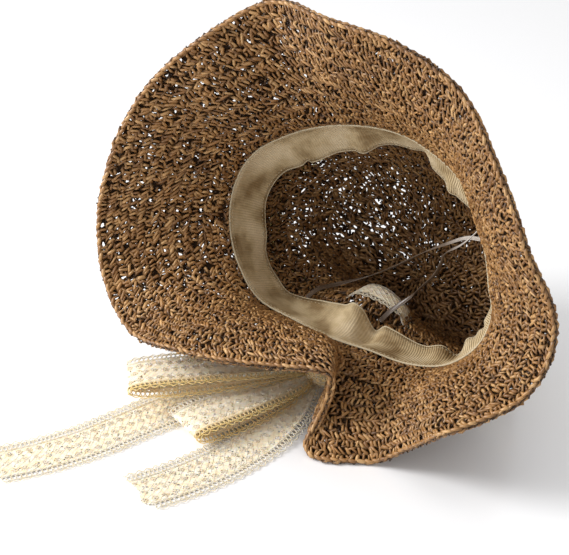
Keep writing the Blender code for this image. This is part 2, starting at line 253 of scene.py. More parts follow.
def oval_point(angle):
    """Point of the opening's plain oval at angles, in the hat's frame."""
    turn = np.radians(angle)
    ease = 2.0 / OPENING_POWER
    x = HALF_LONG * np.sign(np.cos(turn)) * np.abs(np.cos(turn)) ** ease
    y = HALF_SHORT * np.sign(np.sin(turn)) * np.abs(np.sin(turn)) ** ease
    slant = math.radians(OPENING_TURN)
    flat_x = math.cos(slant) * x - math.sin(slant) * y
    flat_y = math.sin(slant) * x + math.cos(slant) * y
    return np.stack((flat_x, flat_y, 0.0 * flat_x), axis=-1)


def opening_axes(angle, depth=0.0):
    """Outward and along directions of the opening at angles."""
    along = unit(crown_point(angle + 1.5, depth) - crown_point(angle - 1.5, depth))
    outward = unit(np.cross(along, np.array((0.0, 0.0, 1.0))))
    return outward, along


def brim_point(angle, share):
    """Middle of the brim's wall at angles, share 0 at the opening, 1 at the edge."""
    angle = np.asarray(angle, float)
    root = crown_point(angle, 0.0)
    oval = oval_point(angle)
    along = unit(oval_point(angle + 1.5) - oval_point(angle - 1.5))
    outward = unit(np.cross(along, np.array((0.0, 0.0, 1.0))))
    lift_way = np.array((0.0, 0.0, 1.0))
    out, slide, lift, belly = (
        table_value(BRIM_EDGE, angle, i)[..., None] for i in (1, 2, 3, 4)
    )
    edge = oval + BRIM_WIDTH * (out * outward + slide * along + lift * lift_way)
    across = unit(lift_way * out - outward * lift)
    middle = (root + edge) * 0.5 + across * belly * BRIM_WIDTH
    return (
        root * (1 - share) ** 2
        + middle * 2 * share * (1 - share)
        + edge * share ** 2
    )


def resting(points):
    """Points of the hat's frame where the tilted hat has them."""
    turn = np.array(Matrix.Rotation(math.radians(90.0 - TILT), 3, "X"))
    return OPENING_CENTRE + np.asarray(points) @ turn.T


def on_floor(points, height):
    """The soft wall lies flat where it would otherwise sink into the floor."""
    points = np.array(points, float)
    points[..., 2] = np.maximum(points[..., 2], height)
    return points


class Wall:
    """The crocheted wall as one sheet from the middle of the tip to the brim's edge.

    A place on it is a share of the way round and a length from the tip.
    """

    def __init__(self):
        angles = np.linspace(0.0, 360.0, COLUMNS + 1)
        rings = []
        tip = crown_point(angles, CROWN_DEPTH)
        centre = tip[:-1].mean(axis=0)
        for share in (0.02, 0.25, 0.5, 0.75):
            rings.append(centre + (tip - centre) * share)
        for depth in np.concatenate((
            CROWN_DEPTH * (1 - np.linspace(0, 1, 9)[:-1] ** 2 * 0.14),
            np.linspace(CROWN_DEPTH * 0.86, 0.0, 30)[:-1],
        )):
            rings.append(crown_point(angles, depth))
        self.crown_rings = len(rings)
        for share in np.linspace(0.0, 1.0, 25):
            rings.append(brim_point(angles, share))
        rings = [on_floor(resting(ring), 0.5 * STRAW) for ring in rings]
        self.points = np.array([self.even(ring) for ring in rings])
        steps = np.linalg.norm(np.diff(self.points, axis=0), axis=-1).mean(axis=1)
        self.lengths = np.concatenate(((0.0,), np.cumsum(steps)))
        self.total = self.lengths[-1]
        self.opening = self.lengths[self.crown_rings]
        loops = np.linalg.norm(np.diff(self.points, axis=1), axis=-1).sum(axis=1)
        self.girths = loops
        around = np.roll(self.points[:, :-1], -1, axis=1) - np.roll(self.points[:, :-1], 1, axis=1)
        down = np.gradient(self.points[:, :-1], self.lengths, axis=0)
        normals = unit(np.cross(around, down))
        side = self.crown_rings - 12
        towards = self.points[side, :-1].mean(axis=0) - self.points[side, :-1]
        if (normals[side] * towards).sum() < 0:
            normals = -normals
        self.normals = np.concatenate((normals, normals[:, :1]), axis=1)

    def even(self, ring):
        """The ring's points again, evenly spaced along its length."""
        steps = np.linalg.norm(np.diff(ring, axis=0), axis=1)
        places = np.concatenate(((0.0,), np.cumsum(steps)))
        wanted = np.linspace(0.0, places[-1], COLUMNS + 1)
        return np.stack([np.interp(wanted, places, ring[:, i]) for i in range(3)], axis=1)

    def girth(self, length):
        """Way round the wall at a length from the tip."""
        return float(np.interp(length, self.lengths, self.girths))

    def at(self, turn, length):
        """Points and inward normals at shares of the way round and lengths."""
        turn, length = np.broadcast_arrays(turn, length)
        place = np.interp(length, self.lengths, np.arange(len(self.lengths)))
        low = np.minimum(place.astype(int), len(self.lengths) - 2)
        part = (place - low)[..., None]
        column = np.mod(turn, 1.0) * COLUMNS
        left = np.minimum(column.astype(int), COLUMNS - 1)
        slide = (column - left)[..., None]

        def mixed(grid):
            upper = grid[low, left] * (1 - slide) + grid[low, left + 1] * slide
            lower = grid[low + 1, left] * (1 - slide) + grid[low + 1, left + 1] * slide
            return upper * (1 - part) + lower * part

        beyond = np.maximum(length - self.total, 0.0)[..., None]
        points = mixed(self.points)
        ahead = unit(self.points[-1] - self.points[-2])
        points = points + beyond * ahead[left]
        return points, unit(mixed(self.normals))


def mesh_object(name, points, faces, uvs=None, marks=None):
    """An object from arrays: faces is a list of index arrays, one for each face size.

    marks holds each point's tint and its painted light level, 0 to 1: for straw, how far it is
    raised out of the weave, with painted shade where it is low; for lace, low where folds get
    painted warm gold light.
    """
    mesh = bpy.data.meshes.new(name)
    loops = np.concatenate([block.ravel() for block in faces])
    sizes = np.concatenate([np.full(len(block), block.shape[1]) for block in faces])
    starts = np.concatenate(((0,), np.cumsum(sizes)[:-1]))
    mesh.vertices.add(len(points))
    mesh.vertices.foreach_set("co", np.asarray(points, np.float32).ravel())
    mesh.loops.add(len(loops))
    mesh.loops.foreach_set("vertex_index", loops.astype(np.int32))
    mesh.polygons.add(len(sizes))
    mesh.polygons.foreach_set("loop_start", starts.astype(np.int32))
    mesh.polygons.foreach_set("use_smooth", np.ones(len(sizes), bool))
    mesh.update(calc_edges=True)
    mesh.validate()
    if uvs is not None:
        layer = mesh.uv_layers.new(name="UVMap")
        layer.data.foreach_set("uv", np.asarray(uvs, np.float32).ravel())
    if marks is not None:
        for name_of_mark, values in zip(("tint", "painted_light_level"), np.asarray(marks, np.float32).T):
            layer = mesh.attributes.new(name_of_mark, "FLOAT", "POINT")
            layer.data.foreach_set("value", np.ascontiguousarray(values))
    item = bpy.data.objects.new(name, mesh)
    bpy.context.scene.collection.objects.link(item)
    return item


def tubes(lines, ups, half_wide, half_thick, corners, tints, painted_light_level=1.0):
    """Arrays of one closed strand along each line of points.

    lines and ups are (count, points, 3), the widths and the painted light level (count, points).
    """
    count, size = lines.shape[:2]
    ahead = unit(np.gradient(lines, axis=1))
    side = unit(np.cross(ahead, ups))
    top = unit(np.cross(side, ahead))
    turns = 0.5 * np.pi + 2.0 * np.pi * np.arange(corners) / corners
    ring = (
        side[:, :, None] * (np.cos(turns)[None, None, :, None] * half_wide[:, :, None, None])
        + top[:, :, None] * (np.sin(turns)[None, None, :, None] * half_thick[:, :, None, None])
    )
    points = (lines[:, :, None] + ring).reshape(-1, 3)
    base = np.arange(count)[:, None, None] * size * corners
    step = np.arange(size - 1)[None, :, None] * corners
    this = np.arange(corners)[None, None, :]
    after = (this + 1) % corners
    quads = np.stack((
        base + step + this, base + step + after,
        base + step + corners + after, base + step + corners + this,
    ), axis=-1).reshape(-1, 4)
    first = base[:, 0] + np.arange(corners)[::-1][None, :]
    last = base[:, 0] + (size - 1) * corners + np.arange(corners)[None, :]
    way = np.concatenate((
        np.zeros((count, 1)),
        np.cumsum(np.linalg.norm(np.diff(lines, axis=1), axis=-1), axis=1),
    ), axis=1)
    way = way + np.asarray(tints)[:, None] * 7.0
    near = np.broadcast_to(way[:, :-1, None], (count, size - 1, corners))
    far = np.broadcast_to(way[:, 1:, None], (count, size - 1, corners))
    low = np.broadcast_to(this / corners, near.shape)
    high = np.broadcast_to((this + 1) / corners, near.shape)
    quad_uvs = np.stack((
        np.stack((low, near), -1), np.stack((high, near), -1),
        np.stack((high, far), -1), np.stack((low, far), -1),
    ), axis=3).reshape(-1, 2)
    cap_uvs = np.zeros((2 * count * corners, 2))
    uvs = np.concatenate((quad_uvs, cap_uvs))
    marks = np.stack((
        np.repeat(np.asarray(tints), size * corners),
        np.repeat(np.broadcast_to(painted_light_level, (count, size)).ravel(), corners),
    ), axis=1)
    return points, [quads, np.concatenate((first, last))], uvs, marks


def joined(parts):
    """Several results of tubes() as one set of arrays."""
    points, faces, uvs, marks = [], {}, {}, []
    offset = 0
    for part_points, part_faces, part_uvs, part_marks in parts:
        points.append(part_points)
        marks.append(part_marks)
        used = 0
        for block in part_faces:
            corners = block.shape[1]
            taken = block.size
            faces.setdefault(corners, []).append(block + offset)
            uvs.setdefault(corners, []).append(part_uvs[used:used + taken])
            used += taken
        offset += len(part_points)
    sizes = sorted(faces)
    return (
        np.concatenate(points),
        [np.concatenate(faces[size]) for size in sizes],
        np.concatenate([uv for size in sizes for uv in uvs[size]]),
        np.concatenate(marks),
    )


# Strands of one stitch on the seen side, in stitch widths, rows and millimetres off
# the middle of the wall: two legs that arch from row to row, and a bar across them
STITCH_SEEN = (
    ((0.08, -0.36, -0.6), (0.12, 0.16, 1.35), (0.26, 0.64, 1.55), (0.44, 1.12, -0.5)),
    ((0.60, -0.34, -0.6), (0.62, 0.18, 1.45), (0.74, 0.66, 1.40), (0.96, 1.14, -0.5)),
    ((-0.12, 1.10, -0.4), (0.22, 1.02, 1.05), (0.60, 0.84, 1.25), (1.00, 0.62, -0.4)),
)
STITCH_BACK = (
    ((0.50, -0.40, 0.5), (0.36, 0.12, -1.30), (0.16, 0.64, -1.30), (0.0, 1.14, 0.4)),
    ((0.58, -0.40, 0.5), (0.72, 0.12, -1.30), (0.92, 0.64, -1.30), (1.04, 1.14, 0.4)),
    ((-0.15, 0.74, 0.3), (0.20, 0.94, -1.20), (0.66, 1.04, -1.20), (1.06, 0.86, 0.3)),
)
ROW_LEAN = 0.30            # lean of the stitches, to the other side in every other row
# Between these heights the painted shade of the gaps fades out: strands deep in the weave are
# painted dark.
DEEP, HIGH = -0.0002, 0.0014   # heights at which a strand is fully in and out of the weave


def wavy(count, period, size):
    """Smooth uneven values round a row, each about the given number of stitches apart."""
    knots = max(3, round(count / period))
    values = CHANCE.normal(size=knots) * size
    places = np.arange(count) / count * knots
    low = places.astype(int)
    part = places - low
    ease = part * part * (3.0 - 2.0 * part)
    return values[low] * (1 - ease) + values[(low + 1) % knots] * ease


def row_lines(wall, top, side_lines, sign):
    """Centre lines, normals and heights of one row's strands. top is its far length."""
    middle = top - 0.5 * ROW
    count = max(6, round(wall.girth(middle) / STITCH))
    shift = CHANCE.random() + wavy(count, 5.0, 0.30)[:, None]
    lift = wavy(count, 4.0, 0.10)[:, None]
    stitch_lean = sign * ROW_LEAN + wavy(count, 3.0, 0.16)[:, None]
    lines, ups, painted_light_level = [], [], []
    for template in side_lines:
        shape = np.array(template)
        jitter = CHANCE.normal(size=(count, len(shape), 3)) * (0.09, 0.10, 0.22)
        lean = stitch_lean + CHANCE.normal(size=(count, 1)) * 0.24
        stretch = 1.0 + CHANCE.normal(size=(count, 1)) * 0.14
        across = shape[None, :, 0] + jitter[:, :, 0] + lean * (shape[None, :, 1] - 0.4)
        along = 0.4 + (shape[None, :, 1] - 0.4) * stretch + jitter[:, :, 1] + lift
        facing = np.sign(shape[1, 2])
        rise = (shape[None, :, 2] + jitter[:, :, 2]) * 0.001
        turn = (np.arange(count)[:, None] + shift + across) / count
        length = np.maximum(top - ROW + along * ROW, 0.001)
        points, normals = wall.at(turn, length)
        points = points + normals * rise[..., None]
        lines.append(on_floor(points, 0.5 * STRAND_FLAT))
        ups.append(normals * facing)
        # Painted light level from the strand's height: low means painted shade in the gaps.
        painted_light_level.append(np.clip((rise * facing - DEEP) / (HIGH - DEEP), 0.0, 1.0))
    return np.concatenate(lines), np.concatenate(ups), np.concatenate(painted_light_level)


def strand_widths(count, size):
    """Half widths and half thicknesses of strands, narrower where they dive in."""
    spread = 1.0 + 0.20 * CHANCE.normal(size=(count, 1)).clip(-2, 2)
    taper = np.ones(size)
    taper[[0, -1]] = 0.62
    wide = 0.5 * STRAND * spread * taper
    thick = 0.5 * STRAND_FLAT * np.broadcast_to(taper, (count, size))
    return wide, thick


def straw_rows(name, wall, rows, openness, shade):
    """Crochet rows as one piece; rows gives each one's far length and its number.

    Strands are missing where the weave is open, and shade darkens the seen side as painted shade.
    """
    parts = []
    for top, number in rows:
        sign = 1.0 if number % 2 else -1.0
        for template, corners in ((STITCH_SEEN, 4), (STITCH_BACK, 3)):
            lines, ups, painted_light_level = row_lines(wall, top, template, sign)
            keep = CHANCE.random(len(lines)) > 0.20 * openness(lines[:, 1])
            lines, ups, painted_light_level = lines[keep], ups[keep], painted_light_level[keep]
            if template is STITCH_SEEN:
                painted_light_level = painted_light_level * shade
            wide, thick = strand_widths(*lines.shape[:2])
            tints = CHANCE.random(len(lines))
            parts.append(tubes(lines, ups, wide, thick, corners, tints, painted_light_level))
    return mesh_object(name, *joined(parts))


def edge_braid(wall):
    """The chain of slanted loops that finishes the brim's edge."""
    count = round(wall.girth(wall.total) / 0.0056)
    parts = []
    for lift, back in ((1.0, 0.0), (-1.0, 0.45)):
        shape = np.array((
            (-0.60, -0.0012, 0.2), (-0.20, 0.0001, 1.7), (0.30, 0.0010, 1.5),
            (0.72, 0.0009, 0.5), (0.98, -0.0004, -0.3),
        ))
        jitter = CHANCE.normal(size=(count, len(shape), 3)) * (0.06, 0.00022, 0.16)
        across = np.arange(count)[:, None] + shape[None, :, 0] + back + jitter[:, :, 0]
        length = wall.total - 0.0008 + shape[None, :, 1] + jitter[:, :, 1]
        points, normals = wall.at(across / count, length)
        rise = (shape[None, :, 2] + jitter[:, :, 2]) * 0.001 * lift
        points = on_floor(points + normals * rise[..., None], 0.0014)
        plump = np.array((0.6, 1.0, 1.1, 0.95, 0.6)) * np.ones((count, 1))
        tints = CHANCE.random(count)
        # Painted shade where the braid dives in, never darker than the level 0.25.
        painted_light_level = 0.25 + 0.75 * np.clip((rise * lift - DEEP) / (HIGH - DEEP), 0.0, 1.0)
        parts.append(tubes(
            points, normals * lift, 0.00125 * plump, 0.00105 * plump, 5, tints, painted_light_level))
    return mesh_object("brim_edge_braid", *joined(parts))


def ground_sheet(name, wall, low, high, columns, pitch, openness):
    """Strands deep in the wall, as an uneven sheet with small holes; make_straw gives it
    near-black painted shade.
    """
    rows = max(2, round((high - low) / pitch))
    lengths = np.linspace(low, high, rows + 1)[:, None]
    turns = (np.arange(columns) / columns)[None, :]
    points, normals = wall.at(
        turns + CHANCE.normal(size=(rows + 1, columns)) * 0.22 / columns,
        lengths + CHANCE.normal(size=(rows + 1, columns)) * 0.22 * pitch,
    )
    points = points + normals * CHANCE.normal(size=(rows + 1, columns, 1)) * 0.0002
    points = on_floor(points, 0.3 * STRAW)
    row = np.arange(rows)[:, None] * columns
    this = np.arange(columns)[None, :]
    after = (this + 1) % columns
    quads = np.stack((row + this, row + after, row + columns + after, row + columns + this), -1)
    keep = CHANCE.random((rows, columns)) > openness(points[:-1])
    return mesh_object(name, points.reshape(-1, 3), [quads[keep]])


def make_nodes(name):
    """A new material's node tree, its Principled shader and a node maker."""
    material = bpy.data.materials.new(name)
    material.use_nodes = True
    tree = material.node_tree
    shader = tree.nodes["Principled BSDF"]

    def add(kind, **values):
        node = tree.nodes.new(kind)
        for key, value in values.items():
            setattr(node, key, value)
        return node

    return material, tree, shader, add


def colour_ramp(add, stops):
    """A colour ramp node with the stops (place, colour)."""
    ramp = add("ShaderNodeValToRGB")
    elements = ramp.color_ramp.elements
    while len(elements) < len(stops):
        elements.new(0.5)
    for element, (place, colour) in zip(elements, stops):
        element.position = place
        element.color = (*colour, 1.0)
    return ramp


def straw_material(name, stops, rough):
    """Twisted paper straw: each strand has its own brown, with fibres along it, and painted shade
    where it dives into the weave.
    """
    material, tree, shader, add = make_nodes(name)
    tint = add("ShaderNodeAttribute", attribute_name="tint")
    ramp = colour_ramp(add, stops)
    tree.links.new(tint.outputs["Fac"], ramp.inputs["Fac"])
    uv = add("ShaderNodeUVMap", uv_map="UVMap")
    stretch = add("ShaderNodeMapping")
    stretch.inputs["Scale"].default_value = (7.0, 260.0, 1.0)
    fibre = add("ShaderNodeTexNoise")
    fibre.inputs["Scale"].default_value = 1.0
    fibre.inputs["Detail"].default_value = 3.0
    tree.links.new(uv.outputs["UV"], stretch.inputs["Vector"])
    tree.links.new(stretch.outputs["Vector"], fibre.inputs["Vector"])
    blotch = add("ShaderNodeTexNoise")
    blotch.inputs["Scale"].default_value = 60.0
    coords = add("ShaderNodeTexCoord")
    tree.links.new(coords.outputs["Object"], blotch.inputs["Vector"])
    shade = add("ShaderNodeMix", data_type="RGBA", blend_type="MULTIPLY")
    shade.inputs["Factor"].default_value = 1.0
    fibre_ramp = colour_ramp(add, ((0.30, (0.62, 0.58, 0.54)), (0.68, (1.18, 1.16, 1.12))))
    tree.links.new(fibre.outputs["Fac"], fibre_ramp.inputs["Fac"])
    tree.links.new(ramp.outputs["Color"], shade.inputs["A"])
    tree.links.new(fibre_ramp.outputs["Color"], shade.inputs["B"])
    patch = add("ShaderNodeMix", data_type="RGBA", blend_type="MULTIPLY")
    patch.inputs["Factor"].default_value = 1.0
    patch_ramp = colour_ramp(add, ((0.35, (0.86, 0.84, 0.80)), (0.65, (1.08, 1.08, 1.06))))
    tree.links.new(blotch.outputs["Fac"], patch_ramp.inputs["Fac"])
    tree.links.new(shade.outputs["Result"], patch.inputs["A"])
    tree.links.new(patch_ramp.outputs["Color"], patch.inputs["B"])
    # Painted shade: strands are painted darker, down to near black, where they dive into the weave
    # and into the gaps.
    painted_light_level = add("ShaderNodeAttribute", attribute_name="painted_light_level")
    gap_shade = add("ShaderNodeMix", data_type="RGBA", blend_type="MULTIPLY")
    gap_shade.inputs["Factor"].default_value = 1.0
    gap_shade_ramp = colour_ramp(add, (
        (0.0, (0.07, 0.055, 0.045)), (0.6, (0.44, 0.41, 0.37)), (1.0, (1.0, 1.0, 1.0))))
    tree.links.new(painted_light_level.outputs["Fac"], gap_shade_ramp.inputs["Fac"])
    tree.links.new(patch.outputs["Result"], gap_shade.inputs["A"])
    tree.links.new(gap_shade_ramp.outputs["Color"], gap_shade.inputs["B"])
    tree.links.new(gap_shade.outputs["Result"], shader.inputs["Base Color"])
    shader.inputs["Roughness"].default_value = rough
    shader.inputs["Specular IOR Level"].default_value = 0.5
    relief = add("ShaderNodeBump")
    relief.inputs["Strength"].default_value = 0.5
    relief.inputs["Distance"].default_value = 0.0003
    tree.links.new(fibre.outputs["Fac"], relief.inputs["Height"])
    tree.links.new(relief.outputs["Normal"], shader.inputs["Normal"])
    return material


def plain_material(name, colour, rough, scale, strength, specular=0.3):
    """A cloth-like surface with fine mottled colour and relief."""
    material, tree, shader, add = make_nodes(name)
    coords = add("ShaderNodeTexCoord")
    grain = add("ShaderNodeTexNoise")
    grain.inputs["Scale"].default_value = scale
    grain.inputs["Detail"].default_value = 4.0
    tree.links.new(coords.outputs["Object"], grain.inputs["Vector"])
    dark = tuple(0.80 * value for value in colour)
    light = tuple(min(1.0, 1.14 * value) for value in colour)
    ramp = colour_ramp(add, ((0.32, dark), (0.68, light)))
    tree.links.new(grain.outputs["Fac"], ramp.inputs["Fac"])
    tree.links.new(ramp.outputs["Color"], shader.inputs["Base Color"])
    shader.inputs["Roughness"].default_value = rough
    shader.inputs["Specular IOR Level"].default_value = specular
    relief = add("ShaderNodeBump")
    relief.inputs["Strength"].default_value = strength
    relief.inputs["Distance"].default_value = 0.0003
    tree.links.new(grain.outputs["Fac"], relief.inputs["Height"])
    tree.links.new(relief.outputs["Normal"], shader.inputs["Normal"])
    return material


def lace_material():
    """Cream cotton lace: uneven threads that let light through, with painted warm gold light in
    the folds.
    """
    material, tree, shader, add = make_nodes("cream_lace")
    coords = add("ShaderNodeTexCoord")
    grain = add("ShaderNodeTexNoise")
    grain.inputs["Scale"].default_value = 240.0
    grain.inputs["Detail"].default_value = 4.0
    tree.links.new(coords.outputs["Object"], grain.inputs["Vector"])
    ramp = colour_ramp(add, (
        (0.30, (0.88, 0.71, 0.46)), (0.50, (0.95, 0.82, 0.60)), (0.70, (0.98, 0.91, 0.76))))
    tree.links.new(grain.outputs["Fac"], ramp.inputs["Fac"])
    # Painted warm gold light in the folds, where the painted light level is low.
    fold = add("ShaderNodeAttribute", attribute_name="painted_light_level")
    painted_gold = add("ShaderNodeMix", data_type="RGBA")
    painted_gold.inputs["A"].default_value = (0.94, 0.64, 0.25, 1.0)
    tree.links.new(fold.outputs["Fac"], painted_gold.inputs["Factor"])
    tree.links.new(ramp.outputs["Color"], painted_gold.inputs["B"])
    tree.links.new(painted_gold.outputs["Result"], shader.inputs["Base Color"])
    shader.inputs["Roughness"].default_value = 0.7
    shader.inputs["Specular IOR Level"].default_value = 0.35
    shader.inputs["Subsurface Weight"].default_value = 0.35
    shader.inputs["Subsurface Radius"].default_value = (0.004, 0.0028, 0.0014)
    shader.inputs["Subsurface Scale"].default_value = 1.0
    relief = add("ShaderNodeBump")
    relief.inputs["Strength"].default_value = 0.4
    relief.inputs["Distance"].default_value = 0.0003
    tree.links.new(grain.outputs["Fac"], relief.inputs["Height"])
    tree.links.new(relief.outputs["Normal"], shader.inputs["Normal"])
    return material


def dress(item, material, slot, *nodes):
    """Gives a piece its material and body, and hides the model's parts that it stands for. slot is
    not used.
    """
    item.data.materials.append(material)
    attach(item, "root")
    if nodes:
        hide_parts(*nodes)
    return item


def make_straw(wall):
    """The crocheted crown and brim, row by row."""
    straw = straw_material("paper_straw", (
        (0.0, (0.23, 0.108, 0.034)), (0.35, (0.36, 0.185, 0.064)),
        (0.7, (0.43, 0.235, 0.088)), (1.0, (0.60, 0.37, 0.165)),
    ), 0.42)
    # Near-black painted shade for the sheet of strands deep in the wall, so the gaps look
    # shadowed.
    painted_shade_ground = plain_material("painted_shade_deep_straw", (0.020, 0.010, 0.005), 0.9, 300.0, 0.6, 0.1)
    rows = [(wall.total - ROW * i, i) for i in range(int(wall.total / ROW))]
    brim_rows = [row for row in rows if row[0] - 0.5 * ROW > wall.opening]
    crown_rows = [row for row in rows if row[0] - 0.5 * ROW <= wall.opening]
    brim_parts = np.array_split(brim_rows, 3)
    crown_parts = np.array_split(crown_rows, 3)

    def brim_holes(points):
        left = np.clip((0.02 - points[..., 0]) / 0.10, 0.0, 1.0)
        return 0.06 + 0.24 * left

    def crown_holes(points):
        left = np.clip((0.05 - points[..., 0]) / 0.08, 0.0, 1.0)
        high = np.clip((points[..., 2] - 0.020) / 0.03, 0.0, 1.0)
        return 0.04 + 0.66 * left * high

    # shade is painted shade of the seen side: 0.84 darkens the straw inside the crown's hollow.
    for names, groups, node, holes, shade in (
        (("brim_rows_outer", "brim_rows_middle", "brim_rows_inner"), brim_parts, "brim",
         brim_holes, 1.0),
        (("crown_rows_side", "crown_rows_middle", "crown_rows_tip"), crown_parts, "crown",
         crown_holes, 0.84),
    ):
        for name, group in zip(names, groups):
            dress(straw_rows(name, wall, group, holes, shade), straw, "straw", node)
    dress(edge_braid(wall), straw, "straw", "brim")

    dress(
        ground_sheet("brim_ground", wall, wall.opening, wall.total - 0.001, 400, 0.0026,
                     brim_holes), painted_shade_ground, "straw", "brim")
    dress(
        ground_sheet("crown_ground", wall, 0.002, wall.opening, 220, 0.0026, crown_holes),
        painted_shade_ground, "straw", "crown")


def sheet_object(name, grid, thickness, closed, uvs=None):
    """A sheet of cloth through a grid of points, given its thickness on both sides."""
    rows, columns = grid.shape[:2]
    spans = columns if closed else columns - 1
    row = np.arange(rows - 1)[:, None] * columns
    this = np.arange(spans)[None, :]
    after = (this + 1) % columns
    quads = np.stack((
        row + this, row + after, row + columns + after, row + columns + this,
    ), -1).reshape(-1, 4)
    loop_uvs = None
    if uvs is not None:
        high = this + 1
        corners = ((0, this), (0, high), (1, high), (1, this))
        loop_uvs = np.stack([
            np.stack((
                np.broadcast_to(uvs[0][index], (rows - 1, spans)),
                np.broadcast_to(uvs[1][np.arange(rows - 1)[:, None] + up], (rows - 1, spans)),
            ), -1) for up, index in corners
        ], axis=2).reshape(-1, 2)
    item = mesh_object(name, grid.reshape(-1, 3), [quads], loop_uvs)
    wall = item.modifiers.new("wall", "SOLIDIFY")
    wall.thickness = thickness
    wall.offset = 0.0
    wall.use_even_offset = False
    return item


def band_point(angle, share):
    """Middle of the ribbed band, share 0 at the sewn edge, 1 at the free edge."""
    outward, along = opening_axes(angle)
    lean = np.radians(table_value(BAND_LEAN, angle, 1))
    inset = 0.5 * STRAW + GAP + 0.5 * BAND_CLOTH
    start = crown_point(angle, 0.002) - outward * inset
    wall = crown_point(angle, 0.002 + share * BAND_WIDTH) - crown_point(angle, 0.002)
    down = unit(wall) * share * BAND_WIDTH
    turn = (lean * min(1.0, share * 1.6))[:, None]
    turned = (
        down * np.cos(turn) + np.cross(along, down) * np.sin(turn)
        + along * (along * down).sum(axis=-1, keepdims=True) * (1 - np.cos(turn))
    )
    return start + turned


# Fine shape of the band's free edge: angle, half width, degrees it leans more
BAND_CREASES = (
    (276.5, 6.5, -16.0), (267.5, 6.0, 8.0), (140.0, 4.0, -5.0), (106.0, 6.0, 5.0),
    (80.0, 7.0, -5.0), (60.0, 6.0, 5.0), (34.0, 6.0, 4.0), (313.0, 5.0, -4.0),
    (322.0, 6.0, 6.0), (336.0, 5.0, -4.0), (200.0, 9.0, 3.0), (232.0, 9.0, -3.0),
)
HEM = 0.0026               # from the edge to the stitched line of each hem
STITCH_STEP = 0.0030


def creased_band_point(angle, share):
    """The band with the small waves of its free edge."""
    outward, along = opening_axes(angle)
    lean = 0.0 * angle
    for middle, width, degrees in BAND_CREASES:
        lean = lean + degrees * bump((angle - middle + 180.0) % 360.0 - 180.0, width)
    start = band_point(angle, 0.0)
    down = band_point(angle, share) - start
    turn = np.radians(lean * min(1.0, share * 1.6))[:, None]
    return start + down * np.cos(turn) + np.cross(along, down) * np.sin(turn)


def band_stitches(angles, share):
    """Short raised stitches along the band at a share of its width."""
    ring = resting(creased_band_point(angles, share))
    after = resting(creased_band_point(angles, share + 0.04))
    way = np.concatenate(((0.0,), np.cumsum(np.linalg.norm(np.diff(ring, axis=0), axis=1))))
    count = int(way[-1] / STITCH_STEP)
    starts = np.arange(count)[:, None] * way[-1] / count
    places = starts + np.array((0.0, 0.35, 0.65, 1.0)) * 0.0021
    rise = np.array((-0.0001, 0.00062, 0.00062, -0.0001))

    def read(points):
        return np.stack([np.interp(places, way, points[:, i]) for i in range(3)], -1)

    lines = read(ring)
    across = unit(read(after) - lines)
    inward = unit(np.cross(np.gradient(lines, axis=1), across))
    middle = OPENING_CENTRE - lines
    inward = inward * np.sign((inward * middle).sum(axis=-1, keepdims=True))
    lines = lines + inward * rise[None, :, None]
    size = np.full(places.shape, 0.00026)
    return tubes(lines, inward, size, size, 3, CHANCE.random(count))


def band_rim(angles, share, size):
    """The rolled edge of a hem."""
    ring = resting(creased_band_point(angles, share))
    up = np.broadcast_to(resting(np.array((0.0, 0.0, 1.0))) - OPENING_CENTRE, ring.shape)
    wide = np.full((1, len(ring)), size)
    return tubes(ring[None], up[None], wide, wide, 5, [0.5])


